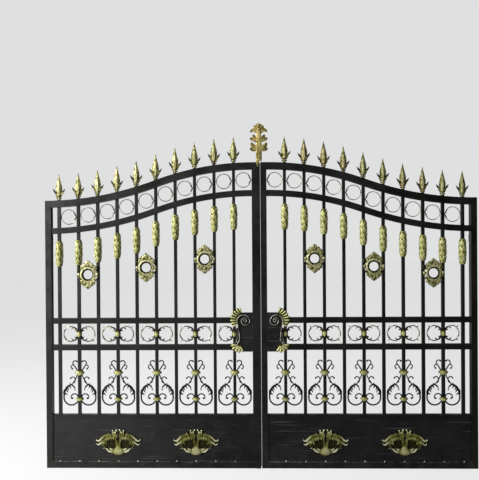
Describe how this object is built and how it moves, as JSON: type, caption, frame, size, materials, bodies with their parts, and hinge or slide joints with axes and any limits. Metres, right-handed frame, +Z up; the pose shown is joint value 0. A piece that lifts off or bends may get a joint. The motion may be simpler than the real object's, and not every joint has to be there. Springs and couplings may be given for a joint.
{
  "type": "wrought iron driveway gate",
  "caption": "Double-leaf driveway gate of black square tube under an ogee top rail, with gilt spearheads, collars, rosettes, scrolls and a plume crest; both leaves swing back.",
  "frame": {"origin": "centre of the outer face of the lower left hinge plate, where it lies on the pier", "axes": "+Z up, +X along the closed gate from the left pier to the right pier, +Y to the back, the way the leaves open; the front faces -Y"},
  "size_m": [2.868, 0.132, 2.286],
  "materials": {
    "black_paint": "satin",
    "black_castings": "satin",
    "gilded_castings": "brushed gilt over black",
    "brass_crest": "brushed gilt",
    "ring_gilt": "worn gilt",
    "bare_steel": "satin"
  },
  "bodies": {
    "hinge_plates": {"left_hinge_brackets": "bare_steel", "right_hinge_brackets": "bare_steel"},
    "left_leaf": {"left_band_scrolls": "ring_gilt", "left_bar_collars": "gilded_castings", "left_bars": "black_paint", "left_bottom_rail": "black_paint", "left_hinge_eyes": "bare_steel", "left_hinge_stile": "black_paint", "left_kick_ornaments": "gilded_castings", "left_kick_panel": "black_paint", "left_kick_rail": "black_paint", "left_lock_ornaments": "gilded_castings", "left_lock_plate": "black_castings", "left_lock_rails": "black_paint", "left_meeting_stile": "black_paint", "left_ring_rail": "black_paint", "left_rosettes": "gilded_castings", "left_scroll_castings": "black_castings", "left_scroll_collars": "gilded_castings", "left_spearheads": "gilded_castings", "left_top_rail": "black_paint", "left_top_rings": "ring_gilt", "cover_strip": "black_paint", "crest": "brass_crest", "crest_foot": "brass_crest"},
    "right_leaf": {"right_band_scrolls": "ring_gilt", "right_bar_collars": "gilded_castings", "right_bars": "black_paint", "right_bottom_rail": "black_paint", "right_hinge_eyes": "bare_steel", "right_hinge_stile": "black_paint", "right_kick_ornaments": "gilded_castings", "right_kick_panel": "black_paint", "right_kick_rail": "black_paint", "right_lock_ornaments": "gilded_castings", "right_lock_plate": "black_castings", "right_lock_rails": "black_paint", "right_meeting_stile": "black_paint", "right_ring_rail": "black_paint", "right_rosettes": "gilded_castings", "right_scroll_castings": "black_castings", "right_scroll_collars": "gilded_castings", "right_spearheads": "gilded_castings", "right_top_rail": "black_paint", "right_top_rings": "ring_gilt"}
  },
  "joints": [
    {"name": "left_leaf_swing", "type": "hinge", "parent": "hinge_plates", "child": "left_leaf", "pos_m": [0.026, -0.023, 0], "axis": [0, 0, 1], "range_deg": [0, 90]},
    {"name": "right_leaf_swing", "type": "hinge", "parent": "hinge_plates", "child": "right_leaf", "pos_m": [2.842, -0.023, 0], "axis": [0, 0, -1], "range_deg": [0, 90]}
  ]
}
